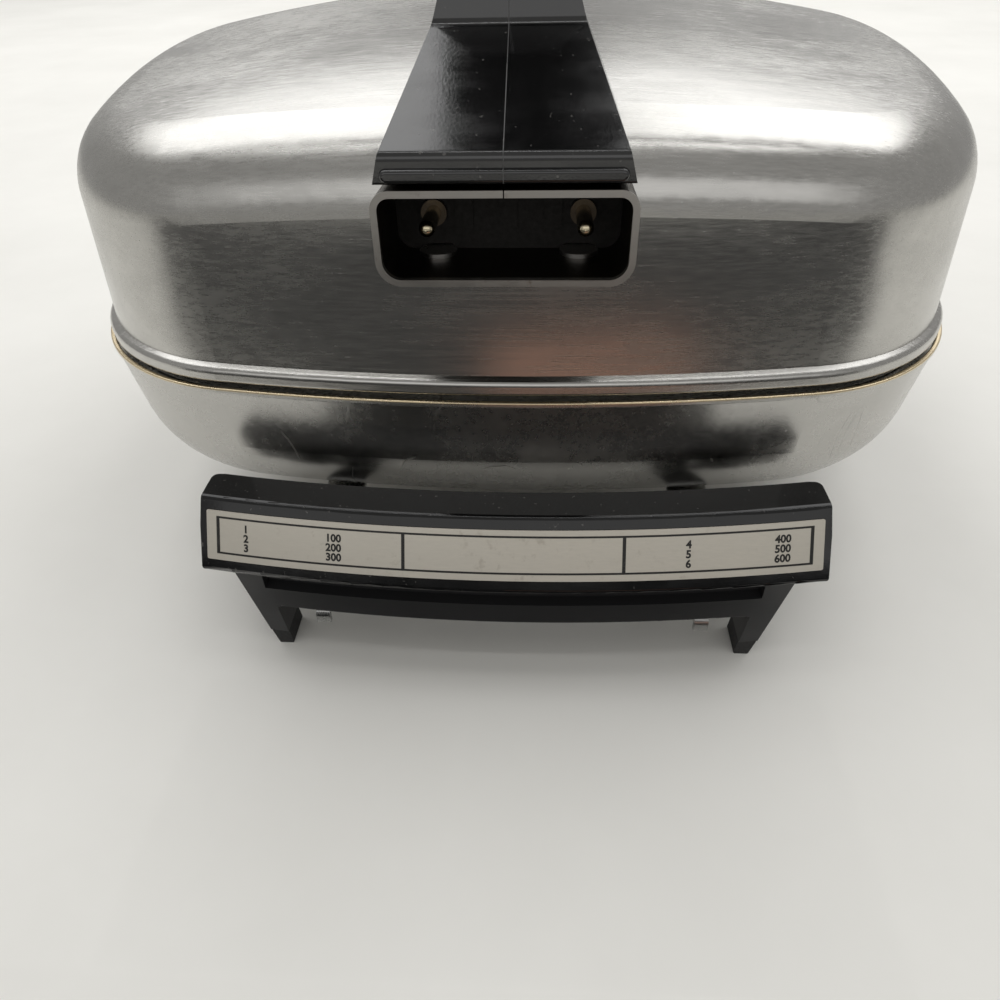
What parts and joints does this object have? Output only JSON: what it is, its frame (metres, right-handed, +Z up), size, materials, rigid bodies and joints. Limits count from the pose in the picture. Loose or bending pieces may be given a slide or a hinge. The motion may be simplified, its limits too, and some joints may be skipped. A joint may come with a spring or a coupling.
{
  "type": "electric skillet",
  "caption": "Square electric skillet with a high-dome hinged broiler lid, bridge lid handle, front and rear handle bars with legs, and plug inlets on the lid and base.",
  "frame": {"origin": "on the table under the centre of the object's box at rest, lid closed", "axes": "+Z up, -Y towards the front handle bar and the lid's inlet, +X towards the base's plug inlet"},
  "size_m": [0.305, 0.3604, 0.214],
  "materials": {
    "pan_aluminium": "polished, fine scratches",
    "lid_aluminium": "fine horizontal brushing",
    "inlet_steel": "bright strip",
    "plate_metal": "satin champagne",
    "reflector_metal": "bright",
    "element_sheath": "oxidised sheath",
    "bright_steel": "bright",
    "bracket_steel": "zinc plated",
    "fastener_steel": "zinc plated",
    "hinge_steel": "plated",
    "rivet_metal": "satin",
    "ferrule_metal": "plated brass",
    "pin_brass": "nickel worn to brass",
    "insulator": "matt brown ceramic",
    "black_moulding": "satin phenolic",
    "gloss_moulding": "gloss phenolic",
    "pad_rubber": "matt"
  },
  "bodies": {
    "base": {"pan": "pan_aluminium", "pan_element": "element_sheath", "probe_sleeve": "bright_steel", "base_inlet_shroud": "inlet_steel", "base_inlet_bracket": "inlet_steel", "base_inlet_screws": "fastener_steel", "base_inlet_rivets": "rivet_metal", "base_inlet_plate": "insulator", "base_inlet_insulators": "insulator", "base_inlet_ferrules": "ferrule_metal", "base_inlet_pins": "pin_brass", "front_bar": "black_moulding", "front_plate": "plate_metal", "rear_bar": "black_moulding", "foot_pads": "pad_rubber", "front_brackets": "bracket_steel", "rear_brackets": "bracket_steel", "bracket_studs": "fastener_steel", "bracket_nuts": "fastener_steel", "bar_screws": "fastener_steel", "hinge_bracket": "hinge_steel", "hinge_screws": "fastener_steel", "hinge_pin": "bright_steel"},
    "lid": {"lid_shell": "lid_aluminium", "lid_hinge_leaf": "hinge_steel", "lid_hinge_rivets": "rivet_metal", "lid_inlet_shroud": "inlet_steel", "lid_inlet_tongue": "inlet_steel", "lid_inlet_rivets": "rivet_metal", "lid_inlet_plate": "insulator", "lid_inlet_insulators": "insulator", "lid_inlet_ferrules": "ferrule_metal", "lid_inlet_pins": "pin_brass", "reflector": "reflector_metal", "reflector_spacers": "bracket_steel", "broiler_element": "element_sheath", "element_clips": "bracket_steel", "lid_handle": "gloss_moulding", "lid_handle_screws": "fastener_steel"}
  },
  "joints": [
    {"name": "lid_hinge", "type": "hinge", "parent": "base", "child": "lid", "pos_m": [0, 0.1655, 0.092], "axis": [-1, 0, 0], "range_deg": [0, 95]}
  ]
}
